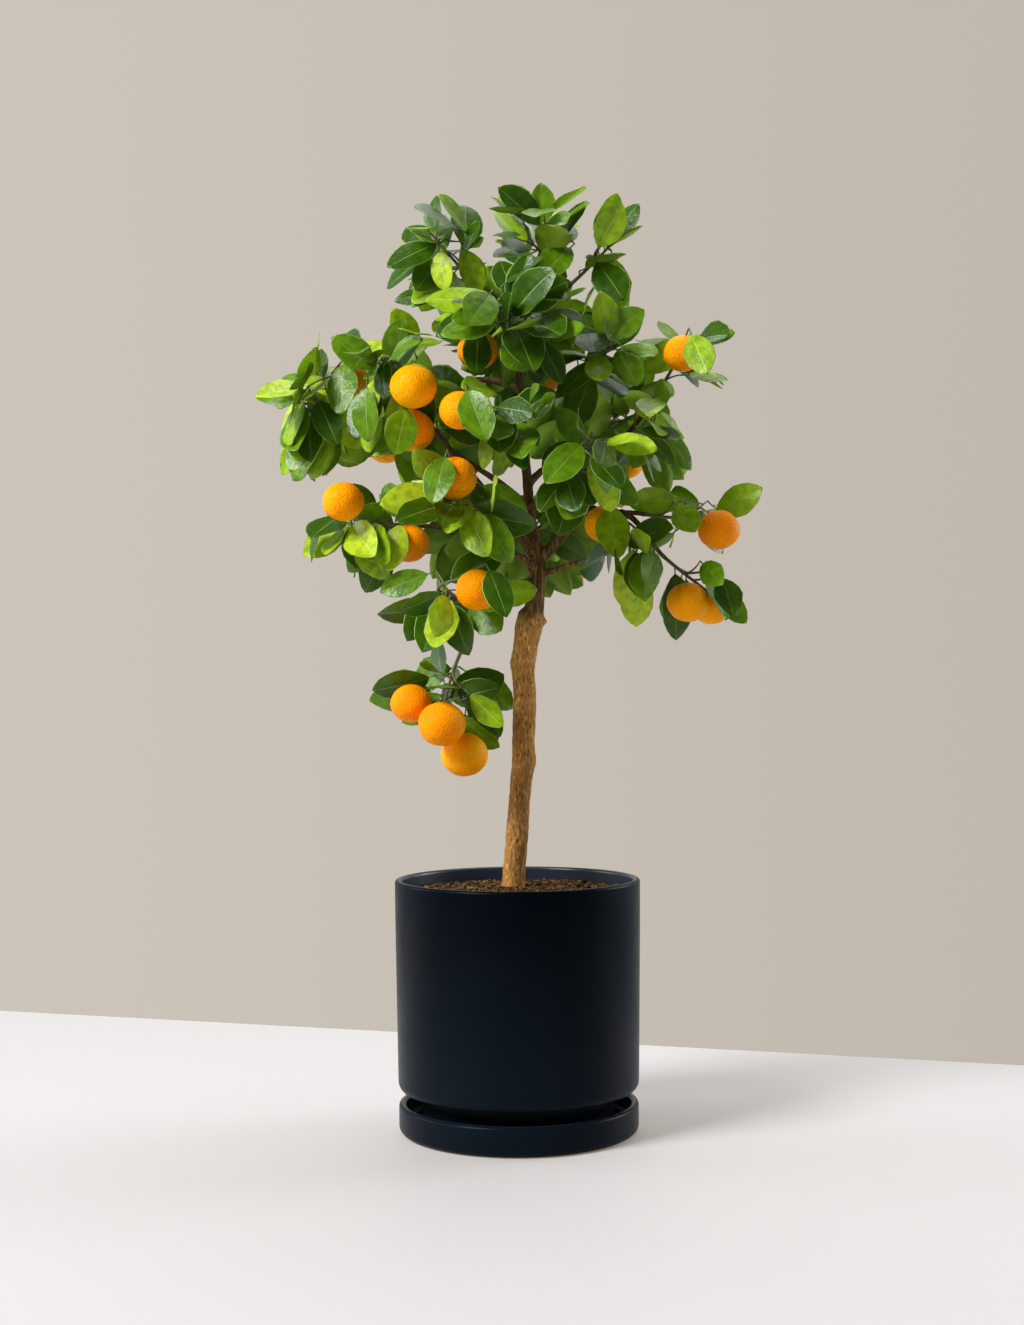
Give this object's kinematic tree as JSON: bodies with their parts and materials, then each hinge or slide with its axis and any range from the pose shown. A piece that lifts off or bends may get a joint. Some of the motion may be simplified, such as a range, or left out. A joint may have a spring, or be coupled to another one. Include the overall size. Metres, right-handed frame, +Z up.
{
  "type": "potted calamondin orange tree",
  "caption": "Small fruiting citrus tree with a leafy open crown and orange fruit, planted in soil in a dark cylinder pot on a saucer.",
  "frame": {"origin": "middle of the saucer's flat underside, on the surface the pot stands on", "axes": "+Z up along the pot's axis; the picture looks along +Y, and +X is to its right"},
  "size_m": [0.4357, 0.329, 0.8122],
  "materials": {
    "dark_glaze": "satin navy-black glaze",
    "potting_soil": "moist brown potting soil with wood chips",
    "bark": "golden-brown bark with fine upright fissures",
    "foliage": "glossy dark green leaves with orange fruit among them"
  },
  "bodies": {
    "root": {"back_high_bough": "bark", "back_high_foliage": "foliage", "back_left_bough": "bark", "back_left_foliage": "foliage", "back_low_bough": "bark", "back_low_foliage": "foliage", "back_right_bough": "bark", "back_right_foliage": "foliage", "front_heart_bough": "bark", "front_heart_foliage": "foliage", "front_high_bough": "bark", "front_high_foliage": "foliage", "front_left_bough": "bark", "front_left_foliage": "foliage", "front_right_bough": "bark", "front_right_foliage": "foliage", "hanging_bough": "bark", "hanging_foliage": "foliage", "leader": "bark", "left_high_bough": "bark", "left_high_foliage": "foliage", "left_low_bough": "bark", "left_low_foliage": "foliage", "left_tip_bough": "bark", "left_tip_foliage": "foliage", "low_left_bough": "bark", "low_left_foliage": "foliage", "low_right_bough": "bark", "low_right_foliage": "foliage", "pot": "dark_glaze", "right_hang_bough": "bark", "right_hang_foliage": "foliage", "right_high_bough": "bark", "right_high_foliage": "foliage", "right_low_bough": "bark", "right_low_foliage": "foliage", "right_mid_bough": "bark", "right_mid_foliage": "foliage", "right_tip_bough": "bark", "right_tip_foliage": "foliage", "saucer": "dark_glaze", "soil": "potting_soil", "top_foliage": "foliage", "top_left_bough": "bark", "top_left_foliage": "foliage", "top_right_bough": "bark", "top_right_foliage": "foliage", "trunk": "bark"}
  },
  "joints": []
}
